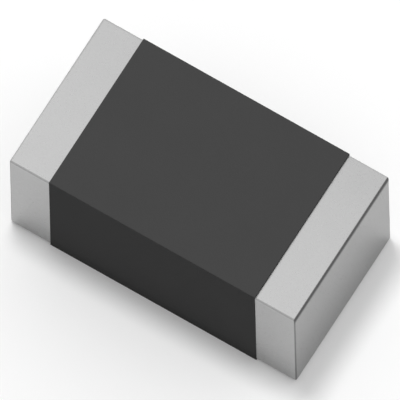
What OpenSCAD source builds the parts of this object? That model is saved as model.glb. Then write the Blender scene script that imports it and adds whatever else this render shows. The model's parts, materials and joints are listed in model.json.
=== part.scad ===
// Surface-mount chip resistor: a ceramic block with a trimmed resistive film printed on its top face,
// a dark protective coat round its middle, and a plated metal cap round each end.
// X runs along the chip, Y across it and Z up. The origin is under the middle of the coat.

/* [Chip] */
// Length over the two metal caps, in mm
chip_length = 3.2; // [2.4:0.05:5]
// Width across the dark coat, in mm
chip_width = 1.744; // [1.2:0.004:2.8]
// Height from the underside of the dark coat to its top, in mm
chip_height = 1.568; // [0.8:0.004:2.4]

/* [End caps] */
// Length of the metal band that each cap shows on the top, the sides and the underside, in mm
cap_band = 0.448; // [0.25:0.002:0.8]
// Thickness of the tin plating, in mm
tin_thickness = 0.01; // [0.006:0.001:0.016]
// Thickness of the nickel plating under the tin, in mm
nickel_thickness = 0.006; // [0.004:0.001:0.012]
// Thickness of the conductive end layer under the nickel, in mm
end_electrode_thickness = 0.03; // [0.02:0.002:0.06]
// Radius of the outer edges of the conductive end layer, which both platings follow, in mm
end_edge_radius = 0.004; // [0.003:0.001:0.02]

/* [Protective coat] */
// How far the coat stands proud of the caps on the top and the underside, in mm
coat_proud_flat = 0.028; // [0.004:0.002:0.06]
// How far the coat stands proud of the caps on its two sides, in mm
coat_proud_side = 0.004; // [0.002:0.001:0.016]
// Radius of the long edges of the coat, in mm
coat_edge_radius = 0.008; // [0.004:0.001:0.03]

/* [Printed electrodes] */
// Thickness of the printed electrodes on the ceramic, in mm
electrode_thickness = 0.012; // [0.008:0.001:0.02]
// Bare strip of ceramic left beside each printed electrode, in mm
electrode_side_margin = 0.1; // [0.04:0.01:0.2]
// How far each top electrode runs in under the coat, past the edge of the cap, in mm
top_electrode_reach = 0.2; // [0.16:0.01:0.28]
// How far each bottom electrode stops short of the edge of the cap, in mm
bottom_electrode_setback = 0.06; // [0.02:0.01:0.12]

/* [Resistive film] */
// Thickness of the resistive film, in mm
film_thickness = 0.012; // [0.008:0.001:0.02]
// How far the film overlaps each top electrode, in mm
film_overlap = 0.12; // [0.06:0.01:0.15]
// Bare strip of ceramic left beside the film, in mm
film_side_margin = 0.18; // [0.12:0.01:0.26]
// Thickness of the glass layer over the film, in mm
glass_thickness = 0.01; // [0.006:0.001:0.016]

/* [Trim cut] */
// Width of the laser trim cut through the film and its glass, in mm
trim_width = 0.04; // [0.03:0.002:0.06]
// How far the cut runs in from the side of the film before it turns, in mm
trim_depth = 0.5; // [0.25:0.01:0.6]
// How far the cut runs along the film after the turn, in mm
trim_run = 0.4; // [0.2:0.01:0.5]
// How far the cut starts to the left of the middle of the film, in mm
trim_start = 0.24; // [0.1:0.01:0.32]

/* [Hidden] */
$fn = 48;
// How far a cutting shape runs past the face that it cuts
cut_over = 0.04;

// Half the length of the coat, which is where the caps begin
seam_x = chip_length / 2 - cap_band;
mid_z = chip_height / 2;

// Outer size and edge radius of each layer: the tin, then the nickel and the end layer inside it
tin_size = [chip_length, chip_width - 2 * coat_proud_side, chip_height - 2 * coat_proud_flat];
nickel_size = thinner(tin_size, tin_thickness);
end_electrode_size = thinner(nickel_size, nickel_thickness);
printed_size = thinner(end_electrode_size, end_electrode_thickness);
nickel_edge_radius = end_edge_radius + nickel_thickness;
cap_edge_radius = nickel_edge_radius + tin_thickness;

core_size = [printed_size.x, printed_size.y, printed_size.z - 2 * electrode_thickness];
core_top = mid_z + core_size.z / 2;
core_bottom = mid_z - core_size.z / 2;

electrode_width = core_size.y - 2 * electrode_side_margin;
top_electrode_start = seam_x - top_electrode_reach;
bottom_electrode_start = seam_x + bottom_electrode_setback;

film_width = core_size.y - 2 * film_side_margin;

ceramic_core();
resistive_film();
inner_glass();
overcoat();
on_left() top_electrode();  // left_top_electrode
top_electrode();  // right_top_electrode
on_left() bottom_electrode();  // left_bottom_electrode
bottom_electrode();  // right_bottom_electrode
on_left() end_electrode();  // left_end_electrode
end_electrode();  // right_end_electrode
on_left() nickel_barrier();  // left_nickel_barrier
nickel_barrier();  // right_nickel_barrier
on_left() tin_cap();  // left_tin_cap
tin_cap();  // right_tin_cap

// The fired ceramic block that carries everything else
module ceramic_core() {
    color([0.92, 0.91, 0.88]) centred_block(core_size);
}

// The resistive layer, stepped up over both top electrodes and trimmed
module resistive_film() {
    color([0.12, 0.12, 0.13]) trimmed_layer(0, film_thickness);
}

// The glass over the film, printed to the same outline and trimmed with it
module inner_glass() {
    color([0.35, 0.42, 0.38]) trimmed_layer(film_thickness, glass_thickness);
}

// The dark coat: a closed sleeve round the middle that fills every step and the trim cut
module overcoat() {
    color([0.27, 0.27, 0.27]) difference() {
        coat_blank();
        ceramic_core();
        resistive_film();
        inner_glass();
        top_electrode();
        on_left() top_electrode();
    }
}

// One printed pad on the top of the ceramic, at the right end
module top_electrode() {
    color([0.8, 0.79, 0.76]) printed_pad(top_electrode_start, core_top);
}

// One printed pad on the underside of the ceramic, at the right end
module bottom_electrode() {
    color([0.8, 0.79, 0.76]) printed_pad(bottom_electrode_start, core_bottom - electrode_thickness);
}

// The conductive layer over the right end, wrapped round five faces
module end_electrode() {
    color([0.7, 0.7, 0.7]) difference() {
        right_band() rounded_block(end_electrode_size, end_edge_radius);
        ceramic_core();
        top_electrode();
        bottom_electrode();
    }
}

// The nickel plating over the right end
module nickel_barrier() {
    color([0.66, 0.65, 0.62]) difference() {
        right_band() rounded_block(nickel_size, nickel_edge_radius);
        rounded_block(end_electrode_size, end_edge_radius);
    }
}

// The tin plating over the right end, which is the cap that shows
module tin_cap() {
    color([0.77, 0.77, 0.77]) difference() {
        right_band() rounded_block(tin_size, cap_edge_radius);
        rounded_block(nickel_size, nickel_edge_radius);
    }
}

// A layer size with the same thickness taken off every face
function thinner(size, thickness) = [for (side = size) side - 2 * thickness];

// The same shape at the left end
module on_left() {
    mirror([1, 0, 0]) children();
}

// A block in the middle of the chip
module centred_block(size) {
    translate([-size.x / 2, -size.y / 2, mid_z - size.z / 2]) cube(size);
}

// Keeps the part of a shape that lies in the right cap's band
module right_band() {
    reach = [cap_band + cut_over, chip_width + 2 * cut_over, chip_height + 2 * cut_over];
    intersection() {
        children();
        translate([seam_x, -reach.y / 2, -cut_over]) cube(reach);
    }
}

// A block in the middle of the chip with every edge and corner rounded
module rounded_block(size, radius) {
    flat = [size.x - 2 * radius, size.y - 2 * radius, size.z - 2 * radius];
    centred_block([size.x, flat.y, flat.z]);
    centred_block([flat.x, size.y, flat.z]);
    centred_block([flat.x, flat.y, size.z]);
    translate([0, 0, mid_z]) {
        for (j = [-1, 1], k = [-1, 1]) {
            translate([-flat.x / 2, j * flat.y / 2, k * flat.z / 2]) rotate([0, 90, 0])
                cylinder(h = flat.x, r = radius);
            translate([j * flat.x / 2, flat.y / 2, k * flat.z / 2]) rotate([90, 0, 0])
                cylinder(h = flat.y, r = radius);
            translate([j * flat.x / 2, k * flat.y / 2, -flat.z / 2])
                cylinder(h = flat.z, r = radius);
        }
        for (i = [-1, 1], j = [-1, 1], k = [-1, 1])
            translate([i * flat.x / 2, j * flat.y / 2, k * flat.z / 2]) sphere(r = radius);
    }
}

// The outside of the coat, with its four long edges rounded
module coat_blank() {
    flat_y = chip_width - 2 * coat_edge_radius;
    flat_z = chip_height - 2 * coat_edge_radius;
    translate([-seam_x, 0, mid_z]) rotate([90, 0, 90]) linear_extrude(height = 2 * seam_x) {
        square([chip_width, flat_z], center = true);
        square([flat_y, chip_height], center = true);
        for (j = [-1, 1], k = [-1, 1])
            translate([j * flat_y / 2, k * flat_z / 2]) circle(r = coat_edge_radius);
    }
}

// One printed pad at the right end, from a start along X to the end of the ceramic
module printed_pad(start_x, base_z) {
    translate([start_x, -electrode_width / 2, base_z])
        cube([core_size.x / 2 - start_x, electrode_width, electrode_thickness]);
}

// A layer of the resistive element: it lies a height over the ceramic and steps up over the electrodes
module trimmed_layer(base, thickness) {
    difference() {
        translate([0, film_width / 2, core_top]) rotate([90, 0, 0])
            linear_extrude(height = film_width) stepped_profile(base, thickness);
        trim_cut();
    }
}

// The layer seen from the side, drawn right to left over one electrode and along to the other
module stepped_profile(base, thickness) {
    top = base + thickness;
    edge = top_electrode_start + film_overlap;
    low_step = top_electrode_start - base;
    high_step = top_electrode_start - top;
    step = electrode_thickness;
    polygon([
        [edge, step + base], [edge, step + top], [high_step, step + top], [high_step, top],
        [-high_step, top], [-high_step, step + top], [-edge, step + top], [-edge, step + base],
        [-low_step, step + base], [-low_step, base], [low_step, base], [low_step, step + base]
    ]);
}

// The L-shaped path of the laser, in from the front side of the film and then along it
module trim_cut() {
    front = -film_width / 2;
    height = electrode_thickness + film_thickness + glass_thickness + 2 * cut_over;
    translate([-trim_start, 0, core_top - cut_over]) {
        translate([0, front - cut_over, 0]) cube([trim_width, trim_depth + cut_over, height]);
        translate([0, front + trim_depth - trim_width, 0]) cube([trim_run, trim_width, height]);
    }
}
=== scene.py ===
# %% [markdown]
# # A surface-mount chip resistor
#
# The real object is a block of white ceramic about 3 mm long. A resistive film is printed on its top face,
# a dark coat protects the middle, and a plated metal cap wraps round each end, so that the chip can be
# soldered to a board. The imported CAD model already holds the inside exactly, so this lesson models only
# what shows: the two caps and the coat. It then gives every layer, hidden or not, a finish of its own.

import json
import math

import bmesh
import bpy
from mathutils import Matrix, Vector


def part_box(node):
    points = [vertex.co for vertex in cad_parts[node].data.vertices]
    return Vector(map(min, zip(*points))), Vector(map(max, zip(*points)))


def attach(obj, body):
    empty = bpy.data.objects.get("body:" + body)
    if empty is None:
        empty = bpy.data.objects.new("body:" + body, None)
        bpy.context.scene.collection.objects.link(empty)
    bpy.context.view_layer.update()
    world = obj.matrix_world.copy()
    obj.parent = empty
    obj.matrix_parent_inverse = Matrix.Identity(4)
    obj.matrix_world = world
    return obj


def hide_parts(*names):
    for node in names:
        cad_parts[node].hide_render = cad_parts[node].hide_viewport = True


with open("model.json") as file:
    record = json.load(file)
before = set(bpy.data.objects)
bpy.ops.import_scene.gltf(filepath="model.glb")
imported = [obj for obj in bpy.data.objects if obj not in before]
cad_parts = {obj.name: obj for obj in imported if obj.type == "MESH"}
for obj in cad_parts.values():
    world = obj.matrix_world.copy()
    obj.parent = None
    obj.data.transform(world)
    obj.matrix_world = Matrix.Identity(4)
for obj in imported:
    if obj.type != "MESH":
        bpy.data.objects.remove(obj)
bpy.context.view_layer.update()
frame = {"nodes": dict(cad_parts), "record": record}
scene = bpy.context.scene
print("CAD nodes:", ", ".join(frame["nodes"]))

# %% [markdown]
# ## Measure the layers
#
# Each layer's size comes from its CAD node, so the new pieces fit without trial and error. Blender works in
# metres, and the chip's edges are a few millionths of a metre, where mesh tools start to merge points that
# should stay apart. So the pieces are modelled in millimetres and scaled down once at the end.

# %% Sizes in millimetres
MM = 1000.0


def box_mm(node):
    """The low and the high corner of the box round a CAD node, in millimetres."""
    low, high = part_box(node)
    return low * MM, high * MM


coat_low, coat_high = box_mm("overcoat")
core_low, core_high = box_mm("ceramic_core")
tin_low, tin_high = box_mm("right_tin_cap")
glass_high = box_mm("inner_glass")[1]
nickel_high = box_mm("right_nickel_barrier")[1]
tin_wall = tin_high.x - nickel_high.x
coat_proud = coat_high - tin_high
print(f"each cap: {tin_high.x - tin_low.x:.3f} mm long with a wall of {tin_wall:.3f} mm")
print(f"the coat stands proud by {coat_proud.z:.3f} mm on top and {coat_proud.y:.3f} mm beside")

# %% Helpers that start and finish a piece


def block(low, high):
    """A bmesh box between two corners, in millimetres."""
    bm = bmesh.new()
    bmesh.ops.create_cube(bm, size=1.0)
    bmesh.ops.scale(bm, vec=high - low, verts=bm.verts)
    bmesh.ops.translate(bm, vec=(low + high) / 2, verts=bm.verts)
    return bm


def round_edges(bm, edges, radius, segments):
    """Rounds some edges, and shades only the rounded strips smooth, so that the flat faces stay flat."""
    made = bmesh.ops.bevel(
        bm,
        geom=edges,
        offset=radius,
        affect="EDGES",
        segments=segments,
        profile=0.5,
        material=-1,
    )
    for face in made["faces"]:
        face.smooth = True


sharp_angle = math.radians(30)
rounding_room = 1 - 1e-6


def finish_piece(bm, name, node):
    """Turns a bmesh in millimetres into a piece in metres that stands for a CAD node.

    It becomes smaller by a millionth, so that rounding can't push it out of the CAD model's box.
    """
    for edge in bm.edges:
        edge.smooth = edge.calc_face_angle() < sharp_angle
    bmesh.ops.scale(bm, vec=Vector((1, 1, 1)) * rounding_room / MM, verts=bm.verts)
    mesh = bpy.data.meshes.new(name)
    bm.to_mesh(mesh)
    bm.free()
    piece = bpy.data.objects.new(name, mesh)
    scene.collection.objects.link(piece)
    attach(piece, "root")
    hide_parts(node)
    print(f"{name}: {len(mesh.vertices)} vertices, {len(mesh.polygons)} faces")
    return piece


# %% [markdown]
# ## The tin caps
#
# Each cap is a skin of tin that was plated over one end, so it has five sides, one even wall and softly
# rounded outer edges. It could be a rounded block, but a block has no inside. Here the outer edges of a box
# are bevelled first. The face towards the coat is then inset by the wall and pushed back into the end,
# which leaves a true cup.
#
# Along the outer edges the tin gets a painted shade: a darker tone that stands in for the dark reflections
# and shade on the rounded edges. It is strongest on the upright corners, and less on the long edges of the
# near side. The long edges of the far side stay bright. The right end also has a painted dark reflection
# along its top edge. A number on each vertex keeps this painted shade for the finish. It could be painted
# by hand, but the way that a vertex faces already says whether it lies on an edge.

# %% Mark the edges that get the painted shade
# These set the painted shade along the edges: a darker tone that stands in for dark reflections.
upright_shade = 0.8
long_edge_shade = 0.55
long_spread = 5.0
line_begins = 0.12
line_is_full = 0.47
line_depth = 0.09


def seam_face(bm):
    """The face of a cap that meets the coat."""
    return min(bm.faces, key=lambda face: abs(face.calc_center_median().x))


def painted_edge_shade(normal, line_shade):
    """How much painted shade a place gets, from the way it faces: 0 on flat faces, up to 1 on the edges.

    An upright corner looks along X and Y at once, a long edge along Y and Z, and the near side along -Y.
    The painted dark reflection of the line grows as a place turns from the top towards the end.
    """
    x, y, z = (abs(part) for part in normal)
    near = max(0.0, -normal.y)
    upright = upright_shade * 2 * x * y
    along = long_edge_shade * min(1.0, long_spread * near * z)
    line = line_shade * min(1.0, max(0.0, (x - line_begins) / (line_is_full - line_begins)))
    return max(upright, along, line)


def mark_shaded_edges(bm, top, line_shade):
    """Writes the painted shade on every vertex. A cut below the top edge is where the painted dark line
    ends.
    """
    seam = seam_face(bm)
    outside = bm.verts[:] + bm.edges[:] + [face for face in bm.faces if face is not seam]
    bmesh.ops.bisect_plane(bm, geom=outside, plane_co=(0, 0, top - line_depth), plane_no=(0, 0, 1))
    layer = bm.verts.layers.float.new("edge_shade")
    bm.normal_update()
    seam_verts = seam_face(bm).verts[:]
    for vert in bm.verts:
        facing = vert.normal.copy()
        if vert in seam_verts:
            facing.x = 0
            facing.normalize()
        above_cut = vert.co.z > top - line_depth / 2
        vert[layer] = painted_edge_shade(facing, line_shade if above_cut else 0.0)


# %% Model the two caps
end_edge_radius = 0.026
side_edge_radius = 0.02


def hollow_out(bm, wall, depth):
    """Turns a closed cap into a cup that opens at its seam face."""
    seam = seam_face(bm)
    bmesh.ops.inset_region(bm, faces=[seam], thickness=wall, use_even_offset=True)
    inward = -seam.normal
    made = bmesh.ops.extrude_face_region(bm, geom=[seam])
    bmesh.ops.delete(bm, geom=[seam], context="FACES_ONLY")
    floor_verts = [item for item in made["geom"] if isinstance(item, bmesh.types.BMVert)]
    bmesh.ops.translate(bm, vec=inward * depth, verts=floor_verts)


def runs_across(edge):
    """True for an edge that runs across the chip, along Y."""
    return edge.verts[0].co.y != edge.verts[1].co.y


def tin_cap(node, line_shade):
    """The hollow cap of one end, in millimetres, with its painted edge shade."""
    low, high = box_mm(node)
    bm = block(low, high)
    end = max(bm.faces, key=lambda face: abs(face.calc_center_median().x))
    round_edges(bm, [edge for edge in end.edges if runs_across(edge)], end_edge_radius, segments=8)
    seam_edges = seam_face(bm).edges[:]
    outlines = [edge for edge in bm.edges if not runs_across(edge) and edge not in seam_edges]
    round_edges(bm, outlines, side_edge_radius, segments=6)
    mark_shaded_edges(bm, high.z, line_shade)
    hollow_out(bm, tin_wall, depth=high.x - low.x - tin_wall)
    return bm


# Only the right end gets the painted dark reflection along its top edge.
line_shades = {"left": 0.0, "right": 1.0}
caps = []
for side, line_shade in line_shades.items():
    node = f"{side}_tin_cap"
    caps.append(finish_piece(tin_cap(node, line_shade), f"tin_cap_{side}", node))

# %% [markdown]
# ## The dark coat
#
# The coat is a sleeve of hard dark paste that wraps all four sides of the block, and it stands a hair proud
# of the caps. A solid block would do for the look, but the coat would then be full where the ceramic is.
# So both end faces of a box are inset, the two inner faces are taken out, and the two openings are bridged
# into a tunnel for the ceramic. The roof of the tunnel is then moved to the top of the printed layers, and
# its floor to the underside of the ceramic. The long edges are rounded last, because a rounded outline
# folds over itself when it is inset by more than its radius.

# %% Model the coat
coat_edge_radius = 0.008


def coat_sleeve():
    """The coat with its tunnel, in millimetres."""
    bm = block(coat_low, coat_high)
    bm.normal_update()
    long_edges = [edge for edge in bm.edges if edge.verts[0].co.x != edge.verts[1].co.x]
    ends = sorted(bm.faces, key=lambda face: abs(face.normal.x))[-2:]
    bmesh.ops.inset_individual(bm, faces=ends, thickness=coat_high.y - core_high.y, use_even_offset=True)
    rims = [edge for face in ends for edge in face.edges]
    bmesh.ops.delete(bm, geom=ends, context="FACES_ONLY")
    bmesh.ops.bridge_loops(bm, edges=rims)
    for vert in {vert for edge in rims for vert in edge.verts}:
        vert.co.z = glass_high.z if vert.co.z > core_high.z else core_low.z
    round_edges(bm, long_edges, coat_edge_radius, segments=6)
    return bm


coat = finish_piece(coat_sleeve(), "protective_coat", "overcoat")

# %% [markdown]
# ## A grain that all finishes share
#
# Matt plating and fired paste are never one flat colour. They have a fine grain, and broad clouds where the
# bath or the print was a little thicker. Both are noise, at two sizes, so they are built once as a node
# group and placed in each material with its own sizes.

# %% Build the grain group
grain_detail = 3.0
grain_harshness = 0.6


def add(tree, kind, **settings):
    """Adds a node to a tree and sets its properties."""
    node = tree.nodes.new(kind)
    for name, value in settings.items():
        setattr(node, name, value)
    return node


def grain_group():
    """Two noise patterns, a fine and a broad one, each with its size as an input."""
    tree = bpy.data.node_groups.new("fired_grain", "ShaderNodeTree")
    tree.interface.new_socket("Position", in_out="INPUT", socket_type="NodeSocketVector")
    inside = add(tree, "NodeGroupInput")
    outside = add(tree, "NodeGroupOutput")
    for output in ("Grain", "Cloud"):
        size = tree.interface.new_socket(f"{output} Size", in_out="INPUT", socket_type="NodeSocketFloat")
        tree.interface.new_socket(output, in_out="OUTPUT", socket_type="NodeSocketFloat")
        scale = add(tree, "ShaderNodeMath", operation="DIVIDE")
        scale.inputs[0].default_value = 1.0
        tree.links.new(inside.outputs[size.name], scale.inputs[1])
        noise = add(tree, "ShaderNodeTexNoise")
        noise.inputs["Detail"].default_value = grain_detail
        noise.inputs["Roughness"].default_value = grain_harshness
        tree.links.new(inside.outputs["Position"], noise.inputs["Vector"])
        tree.links.new(scale.outputs["Value"], noise.inputs["Scale"])
        tree.links.new(noise.outputs["Fac"], outside.inputs[output])
    return tree


fired_grain = grain_group()
print("shared effect:", fired_grain.name, [item.name for item in fired_grain.interface.items_tree])

# %% Helpers that start a material and use the grain


def new_material(name):
    """A new material, with its node tree and its Principled shader."""
    material = bpy.data.materials.new(name)
    material.use_nodes = True
    return material, material.node_tree, material.node_tree.nodes["Principled BSDF"]


def place_grain(tree, grain_size, cloud_size):
    """Puts the shared grain in a material, with its two sizes in millimetres."""
    position = add(tree, "ShaderNodeTexCoord")
    grain = add(tree, "ShaderNodeGroup", node_tree=fired_grain)
    grain.inputs["Grain Size"].default_value = grain_size / MM
    grain.inputs["Cloud Size"].default_value = cloud_size / MM
    tree.links.new(position.outputs["Object"], grain.inputs["Position"])
    return grain.outputs["Grain"], grain.outputs["Cloud"]


noise_low = 0.25
noise_high = 0.75


def spread(tree, pattern, low, high):
    """Stretches the middle half of a noise pattern over a range of values."""
    mapped = add(tree, "ShaderNodeMapRange")
    mapped.inputs["From Min"].default_value = noise_low
    mapped.inputs["From Max"].default_value = noise_high
    mapped.inputs["To Min"].default_value = low
    mapped.inputs["To Max"].default_value = high
    tree.links.new(pattern, mapped.inputs["Value"])
    return mapped.outputs["Result"]


def combine(tree, operation, first, second):
    """Works out one value from two others."""
    node = add(tree, "ShaderNodeMath", operation=operation)
    tree.links.new(first, node.inputs[0])
    tree.links.new(second, node.inputs[1])
    return node.outputs["Value"]


def shaded(tree, colour, shade):
    """A colour times a shade that changes over the surface."""
    node = add(tree, "ShaderNodeVectorMath", operation="SCALE")
    node.inputs[0].default_value = colour
    tree.links.new(shade, node.inputs["Scale"])
    return node.outputs["Vector"]


def grain_bump(tree, principled, height, depth):
    """Lets a pattern stand up from the surface by a depth in millimetres."""
    bump = add(tree, "ShaderNodeBump")
    bump.inputs["Distance"].default_value = depth / MM
    tree.links.new(height, bump.inputs["Height"])
    tree.links.new(bump.outputs["Normal"], principled.inputs["Normal"])


# %% [markdown]
# ## Matt tin
#
# Matt tin is a soft grey metal with a grain too fine to see one by one, so it reflects like a blurred
# mirror. A metallic Principled shader with a middle roughness does that, and the grain changes its tone a
# little. Along the edges, the number on each vertex mixes in a darker tone: a painted shade that stands in
# for dark reflections on the rounded edges. The specular tint is below white, because the fine pits of matt
# plating swallow light that grazes it.

# %% Make the matt tin
tin_colour = 0.55
tin_tint = 0.575
tin_rough = 0.295
tin_rough_spread = 0.04
tin_bump = 0.001
# The darker tone of the painted edge shade, and the amount at which it starts.
edge_shade_colour = 0.13
edge_shade_begins = 0.2


def matt_tin():
    material, tree, principled = new_material("matt_tin")
    grain, cloud = place_grain(tree, grain_size=0.018, cloud_size=0.5)
    fine = spread(tree, grain, low=0.97, high=1.03)
    shade = combine(tree, "MULTIPLY", fine, spread(tree, cloud, low=0.985, high=1.015))
    # The painted edge shade, read from the number on each vertex.
    edge_shade_node = add(tree, "ShaderNodeAttribute", attribute_name="edge_shade")
    edge_darkening = add(tree, "ShaderNodeMapRange", interpolation_type="SMOOTHSTEP")
    edge_darkening.inputs["From Min"].default_value = edge_shade_begins
    tree.links.new(edge_shade_node.outputs["Fac"], edge_darkening.inputs["Value"])
    colour = add(tree, "ShaderNodeMix", data_type="RGBA")
    tree.links.new(edge_darkening.outputs["Result"], colour.inputs["Factor"])
    tree.links.new(shaded(tree, (tin_colour, tin_colour, tin_colour), shade), colour.inputs["A"])
    tree.links.new(shaded(tree, (edge_shade_colour, edge_shade_colour, edge_shade_colour), shade), colour.inputs["B"])
    tree.links.new(colour.outputs["Result"], principled.inputs["Base Color"])
    principled.inputs["Metallic"].default_value = 1.0
    principled.inputs["Specular Tint"].default_value = (tin_tint, tin_tint, tin_tint, 1)
    rough = spread(tree, grain, low=tin_rough - tin_rough_spread, high=tin_rough + tin_rough_spread)
    tree.links.new(rough, principled.inputs["Roughness"])
    grain_bump(tree, principled, grain, tin_bump)
    return material


tin = matt_tin()
for cap in caps:
    cap.data.materials.append(tin)
    print(cap.name, "gets", tin.name)

# %% [markdown]
# ## The coat's finish
#
# The coat is printed, dried and fired, which leaves a dark grey surface that is nearly matt. A plain black
# would hide its shape, so it is a dark grey dielectric with a high roughness and a weak reflection, and the
# grain gives it the tooth of fired paste.

# %% Make the dark coat
coat_colour = 0.0565
coat_specular = 0.02
coat_rough = 0.85
coat_rough_spread = 0.05
coat_bump = 0.001


def dark_coat():
    material, tree, principled = new_material("dark_coat")
    grain, cloud = place_grain(tree, grain_size=0.012, cloud_size=0.5)
    fine = spread(tree, grain, low=0.96, high=1.04)
    shade = combine(tree, "MULTIPLY", fine, spread(tree, cloud, low=0.98, high=1.02))
    colour = shaded(tree, (coat_colour, coat_colour, coat_colour), shade)
    tree.links.new(colour, principled.inputs["Base Color"])
    principled.inputs["Specular IOR Level"].default_value = coat_specular
    rough = spread(tree, grain, low=coat_rough - coat_rough_spread, high=coat_rough + coat_rough_spread)
    tree.links.new(rough, principled.inputs["Roughness"])
    grain_bump(tree, principled, grain, coat_bump)
    return material


coat.data.materials.append(dark_coat())
print(coat.name, "gets", coat.data.materials[0].name)

# %% [markdown]
# ## The hidden layers
#
# The ceramic, the film and the other inner layers keep their CAD shapes, which are exact, and only need
# their materials. Each is a fired or plated layer, so one function makes them all from the shared grain,
# with the colour, metal and roughness of the layer. They show when someone takes the caps or the coat off.

# %% Make and place the hidden finishes
layer_bump = 0.001


def layer_finish(name, colour, metallic, rough):
    """The finish of a fired or plated layer, with its least and its greatest roughness as a pair."""
    material, tree, principled = new_material(name)
    grain, cloud = place_grain(tree, grain_size=0.015, cloud_size=0.4)
    fine = spread(tree, grain, low=0.92, high=1.05)
    shade = combine(tree, "MULTIPLY", fine, spread(tree, cloud, low=0.95, high=1.03))
    tree.links.new(shaded(tree, colour, shade), principled.inputs["Base Color"])
    principled.inputs["Metallic"].default_value = metallic
    tree.links.new(spread(tree, grain, *rough), principled.inputs["Roughness"])
    grain_bump(tree, principled, grain, layer_bump)
    return material


finishes = {
    "ceramic": layer_finish("white_alumina", (0.85, 0.84, 0.8), metallic=0.0, rough=(0.45, 0.6)),
    "film": layer_finish("resistive_paste", (0.03, 0.03, 0.035), metallic=0.0, rough=(0.35, 0.5)),
    "glass_layer": layer_finish("fired_glass", (0.2, 0.26, 0.22), metallic=0.0, rough=(0.1, 0.2)),
    "printed_silver": layer_finish("printed_silver", (0.7, 0.69, 0.66), metallic=1.0, rough=(0.35, 0.5)),
    "end_layer": layer_finish("end_paste", (0.5, 0.5, 0.5), metallic=1.0, rough=(0.4, 0.55)),
    "nickel": layer_finish("dull_nickel", (0.46, 0.45, 0.42), metallic=1.0, rough=(0.25, 0.35)),
}
for part in frame["record"]["subparts"]:
    finish = finishes.get(part["material_slot"])
    if finish:
        frame["nodes"][part["node"]].material_slots[0].material = finish
        print(part["node"], "gets", finish.name)

# %% [markdown]
# ## The floor
#
# The chip lies on a sheet of pale paper. Paper is matt, so a plain diffuse floor catches the soft shadow.
# More light would make it white, but would bleach the chip as well. So the camera and the metal see the
# sheet a little lighter than the light alone makes it, and the chip is lit at a plain level.

# %% Make the floor
floor_colour = 0.86
floor_lift = 0.09
floor_width = 120


def stage_sheet(name, width, depth, material):
    """A flat sheet that belongs to the studio, in millimetres, lying at the origin."""
    bm = bmesh.new()
    bmesh.ops.create_grid(bm, x_segments=1, y_segments=1, size=0.5)
    bmesh.ops.scale(bm, vec=(width / MM, depth / MM, 1), verts=bm.verts)
    mesh = bpy.data.meshes.new(name)
    bm.to_mesh(mesh)
    bm.free()
    mesh.materials.append(material)
    sheet = bpy.data.objects.new(name, mesh)
    scene.collection.objects.link(sheet)
    return sheet


def plain_sheet_material(name, grey):
    """A material for a sheet of the studio: one grey, matt and without a shine."""
    material, tree, principled = new_material(name)
    principled.inputs["Base Color"].default_value = (grey, grey, grey, 1)
    principled.inputs["Roughness"].default_value = 1.0
    principled.inputs["Specular IOR Level"].default_value = 0.0
    return material, tree, principled


def seen_by_eye(tree):
    """1 where the camera, a reflection or a clear body looks at something, and 0 where it gives light."""
    ray = add(tree, "ShaderNodeLightPath")
    mirrored = combine(tree, "MAXIMUM", ray.outputs["Is Camera Ray"], ray.outputs["Is Glossy Ray"])
    return combine(tree, "MAXIMUM", mirrored, ray.outputs["Is Transmission Ray"])


paper, tree, principled = plain_sheet_material("white_paper", floor_colour)
tree.links.new(seen_by_eye(tree), principled.inputs["Emission Color"])
principled.inputs["Emission Strength"].default_value = floor_lift
floor = stage_sheet("floor", floor_width, floor_width, paper)
print("floor:", [round(side * MM) for side in floor.dimensions[:2]], "mm")

# %% [markdown]
# ## The light
#
# The chip is lit like a small product on a table. A wide soft glow comes from above and from behind, and
# fades towards the horizon. Metal needs something bright to reflect from every side, so reflections see the
# horizon brighter than it shines on the matt surfaces. One softbox overhead makes a short shadow on the
# near side. It is kept out of the reflections, so that the metal shows the even glow and no hot spot.

# %% The glow of the room
sky_axis = (0.08, 0.28, 0.9)
sky_from = 0.0
sky_to = 0.9
sky_dim = 0.04
sky_bright = 0.9
seen_dim = 0.6
seen_bright = 0.88

world = bpy.data.worlds.new("studio")
world.use_nodes = True
scene.world = world
tree = world.node_tree
direction = add(tree, "ShaderNodeTexCoord")
facing = add(tree, "ShaderNodeVectorMath", operation="DOT_PRODUCT")
facing.inputs[1].default_value = Vector(sky_axis).normalized()
tree.links.new(direction.outputs["Generated"], facing.inputs[0])
glow = add(tree, "ShaderNodeMapRange", interpolation_type="SMOOTHSTEP")
glow.inputs["From Min"].default_value = sky_from
glow.inputs["From Max"].default_value = sky_to
tree.links.new(facing.outputs["Value"], glow.inputs["Value"])
for socket, light, look in (("To Min", sky_dim, seen_dim), ("To Max", sky_bright, seen_bright)):
    level = add(tree, "ShaderNodeMapRange")
    level.inputs["To Min"].default_value = light
    level.inputs["To Max"].default_value = look
    tree.links.new(seen_by_eye(tree), level.inputs["Value"])
    tree.links.new(level.outputs["Result"], glow.inputs[socket])
tree.links.new(glow.outputs["Result"], tree.nodes["Background"].inputs["Strength"])
tree.nodes["Background"].inputs["Color"].default_value = (1, 1, 1, 1)
print(f"the room gives light of {sky_dim} to {sky_bright} and looks {seen_dim} to {seen_bright} bright")

# %% The softbox
lamp_direction = (-0.12, 0.07, 0.97)
lamp_watts = 0.0068
lamp_size = 7.5
lamp_distance = 40.0

softbox = bpy.data.lights.new("softbox", "AREA")
softbox.shape = "DISK"
softbox.size = lamp_size / MM
softbox.energy = lamp_watts
lamp = bpy.data.objects.new("softbox", softbox)
scene.collection.objects.link(lamp)
towards_lamp = Vector(lamp_direction).normalized()
lamp.location = towards_lamp * lamp_distance / MM
lamp.rotation_euler = towards_lamp.to_track_quat("Z", "Y").to_euler()
lamp.visible_glossy = False
print("softbox at", [round(value, 1) for value in towards_lamp * lamp_distance], "mm")

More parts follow.
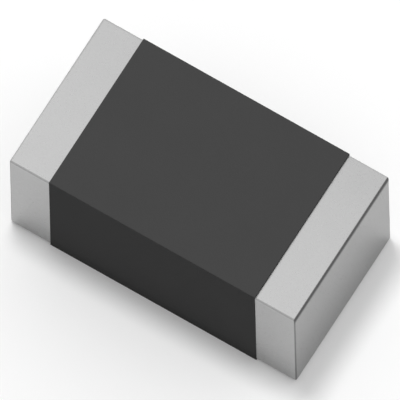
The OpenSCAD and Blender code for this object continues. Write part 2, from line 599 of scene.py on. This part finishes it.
# %% [markdown]
# ## A white card overhead
#
# Metal only shows what is round it, so photographers hang white cards near shiny things. This one hangs
# over the near side of the chip, and makes the caps a touch brighter there than at their far side. A second
# lamp could do that too, but it would also light the coat and the floor. The card matters only in
# reflections: the camera, the shadows and the matt surfaces leave it out.

# %% Hang the card
card_height = 6.0
card_edge = 2.0
card_turn = 12.0
card_glow = 1.03
card_width = 30.0
card_reach = 12.0

card_paper, tree, principled = plain_sheet_material("card_paper", 0.0)
principled.inputs["Emission Color"].default_value = (1, 1, 1, 1)
principled.inputs["Emission Strength"].default_value = card_glow
card = stage_sheet("white_card", card_width, card_reach, card_paper)
turned = Matrix.Rotation(math.radians(-card_turn), 4, "Z")
card_middle = Vector((0, card_edge - card_reach / 2, card_height))
card.matrix_world = turned @ Matrix.Translation(card_middle / MM)
card.visible_camera = False
card.visible_diffuse = False
card.visible_shadow = False
print("white card at", [round(value * MM, 1) for value in card.matrix_world.translation], "mm")

# %% [markdown]
# ## The camera
#
# The photograph has no perspective that can be measured: edges that are parallel on the chip are parallel
# in the picture. So the camera is orthographic. Its three angles and its width were found by fitting the
# edges of a box to the edges in the photograph.

# %% Place the camera
camera_azimuth = 32.74
camera_elevation = 67.67
camera_roll = -1.48
camera_distance = 20.0
clip_near = 1.0
clip_far = 200.0
picture_width = 3.8244
picture_middle = (-0.0077, 0.2836)
look_at_height = 0.0185

angles = (camera_azimuth, camera_elevation, camera_roll)
azimuth, elevation, roll = (math.radians(angle) for angle in angles)
back = Vector((
    math.sin(azimuth) * math.cos(elevation),
    -math.cos(azimuth) * math.cos(elevation),
    math.sin(elevation),
))
level_right = Vector((math.cos(azimuth), math.sin(azimuth), 0))
level_up = back.cross(level_right)
right = math.cos(roll) * level_right + math.sin(roll) * level_up
up = math.cos(roll) * level_up - math.sin(roll) * level_right
middle = Vector((0, 0, look_at_height)) + right * picture_middle[0] + up * picture_middle[1]

lens = bpy.data.cameras.new("camera")
lens.type = "ORTHO"
lens.ortho_scale = picture_width / MM
lens.clip_start = clip_near / MM
lens.clip_end = clip_far / MM
camera = bpy.data.objects.new("camera", lens)
scene.collection.objects.link(camera)
turn = Matrix((right, up, back)).transposed().to_4x4()
camera.matrix_world = Matrix.Translation((middle + back * camera_distance) / MM) @ turn
scene.camera = camera
scene.view_settings.view_transform = "Standard"
print("camera looks at", [round(value, 3) for value in middle], "mm")
